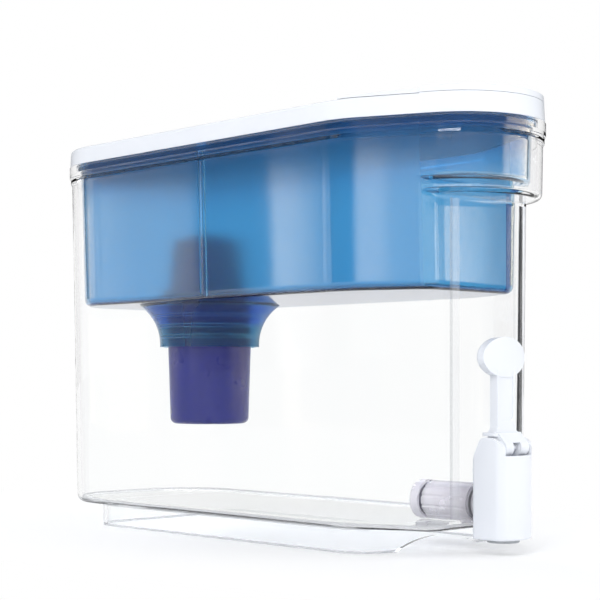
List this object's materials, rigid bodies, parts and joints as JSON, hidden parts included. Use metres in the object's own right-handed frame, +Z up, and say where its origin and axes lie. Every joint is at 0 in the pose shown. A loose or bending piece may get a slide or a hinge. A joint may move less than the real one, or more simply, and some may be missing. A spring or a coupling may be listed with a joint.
{
  "type": "gravity water filter",
  "caption": "Slim clear water filter tank with a tap and thumb lever, a blue lift-out reservoir, a hanging cartridge and a white lid with a fill door.",
  "frame": {"origin": "middle of the footprint, on the surface that the foot skirt stands on", "axes": "+Z up, -Y front with the tap, +Y rear, X across the narrow width"},
  "size_m": [0.137, 0.3648, 0.2561],
  "materials": {
    "clear_plastic": "clear moulded plastic",
    "blue_plastic": "translucent blue moulded plastic",
    "indigo_plastic": "satin",
    "carbon": "granular",
    "grey_mesh": "woven",
    "dark_rubber": "matte",
    "white_plastic": "gloss",
    "lilac_plastic": "translucent grey moulding",
    "grey_plastic": "satin",
    "pale_silicone": "matte translucent silicone",
    "steel": "drawn wire"
  },
  "bodies": {
    "tank": {"tank": "clear_plastic", "spigot_body": "lilac_plastic", "outer_washer": "pale_silicone", "inner_washer": "pale_silicone", "retaining_nut": "lilac_plastic", "tap_cover": "white_plastic", "lever_pin": "white_plastic", "chamber_cap": "white_plastic", "outlet_ring": "grey_plastic", "stem_ring": "dark_rubber", "return_spring": "steel"},
    "lever": {"lever": "white_plastic"},
    "plunger": {"plunger": "lilac_plastic", "valve_seal": "dark_rubber"},
    "reservoir": {"reservoir": "blue_plastic"},
    "filter": {"filter_housing": "indigo_plastic", "filter_cap": "indigo_plastic", "filter_seal": "dark_rubber", "filter_media": "carbon", "inlet_screen": "grey_mesh", "outlet_screen": "grey_mesh"},
    "lid": {"lid": "white_plastic", "door_pin": "steel"},
    "fill_door": {"fill_door": "white_plastic"}
  },
  "joints": [
    {"name": "reservoir_lift", "type": "slide", "parent": "tank", "child": "reservoir", "axis": [0, 0, 1], "range_m": [0, 0.18]},
    {"name": "lid_lift", "type": "slide", "parent": "reservoir", "child": "lid", "axis": [0, 0, 1], "range_m": [0, 0.06]},
    {"name": "filter_lift", "type": "slide", "parent": "reservoir", "child": "filter", "axis": [0, 0, 1], "range_m": [0, 0.03]},
    {"name": "door_hinge", "type": "hinge", "parent": "lid", "child": "fill_door", "pos_m": [0, -0.0966, 0.25395], "axis": [-1, 0, 0], "range_deg": [0, 100]},
    {"name": "lever_hinge", "type": "hinge", "parent": "tank", "child": "lever", "pos_m": [0, -0.17093, 0.059], "axis": [1, 0, 0], "range_deg": [0, 35], "stiffness_Nm_per_rad": 0.2, "springref_deg": -22.92},
    {"name": "plunger_lift", "type": "slide", "parent": "tank", "child": "plunger", "axis": [0, 0, 1], "range_m": [0, 0.0034], "deforming": ["return_spring"]}
  ],
  "couplings": [
    {"joint": "plunger_lift", "follows": "lever_hinge", "m_per_rad": 0.005513}
  ]
}
